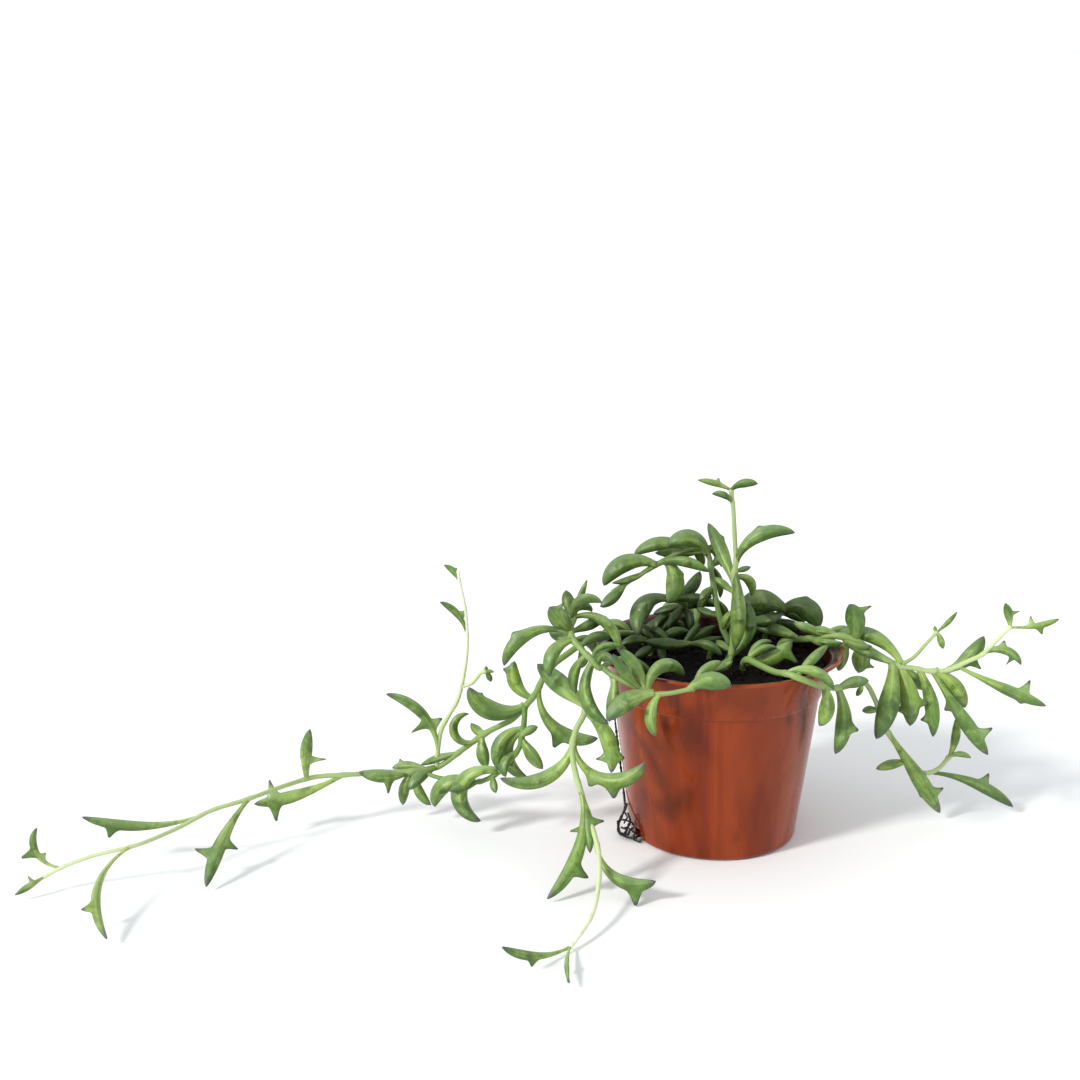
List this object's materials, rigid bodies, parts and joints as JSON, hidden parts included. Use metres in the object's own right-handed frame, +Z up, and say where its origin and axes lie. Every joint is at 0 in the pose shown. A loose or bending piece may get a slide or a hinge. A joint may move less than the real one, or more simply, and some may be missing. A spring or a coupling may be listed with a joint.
{
  "type": "potted trailing succulent",
  "caption": "Round tapered nursery pot of soil with trailing succulent stems, one upright shoot and small curved leaves with pointed fins.",
  "frame": {"origin": "middle of the pot's flat bottom, on the surface that the pot stands on", "axes": "+Z up along the pot's axis, +X to the viewer's right along the trailing stems, -Y towards the viewer"},
  "size_m": [0.4182, 0.2148, 0.1539],
  "materials": {
    "pot": "glossy moulded terracotta-brown",
    "soil": "dark crumbly potting soil",
    "dry_roots": "dry and rough",
    "left_rim_shoot": "fleshy waxy leaf and stem",
    "front_trailer": "fleshy waxy leaf and stem",
    "long_runner": "fleshy waxy leaf and stem",
    "upright_shoot": "fleshy waxy leaf and stem",
    "right_lower_shoot": "fleshy waxy leaf and stem",
    "right_runner": "fleshy waxy leaf and stem",
    "arching_shoot": "fleshy waxy leaf and stem",
    "centre_shoot": "fleshy waxy leaf and stem",
    "right_crown": "fleshy waxy leaf and stem",
    "back_left_shoot": "fleshy waxy leaf and stem",
    "back_shoot_left": "fleshy waxy leaf and stem",
    "back_shoot_right": "fleshy waxy leaf and stem"
  },
  "bodies": {
    "root": {"pot": "pot", "soil": "soil", "dry_roots": "dry_roots", "left_rim_shoot": "left_rim_shoot", "front_trailer": "front_trailer", "long_runner": "long_runner", "upright_shoot": "upright_shoot", "right_lower_shoot": "right_lower_shoot", "right_runner": "right_runner", "arching_shoot": "arching_shoot", "centre_shoot": "centre_shoot", "right_crown": "right_crown", "back_left_shoot": "back_left_shoot", "back_shoot_left": "back_shoot_left", "back_shoot_right": "back_shoot_right"}
  },
  "joints": []
}
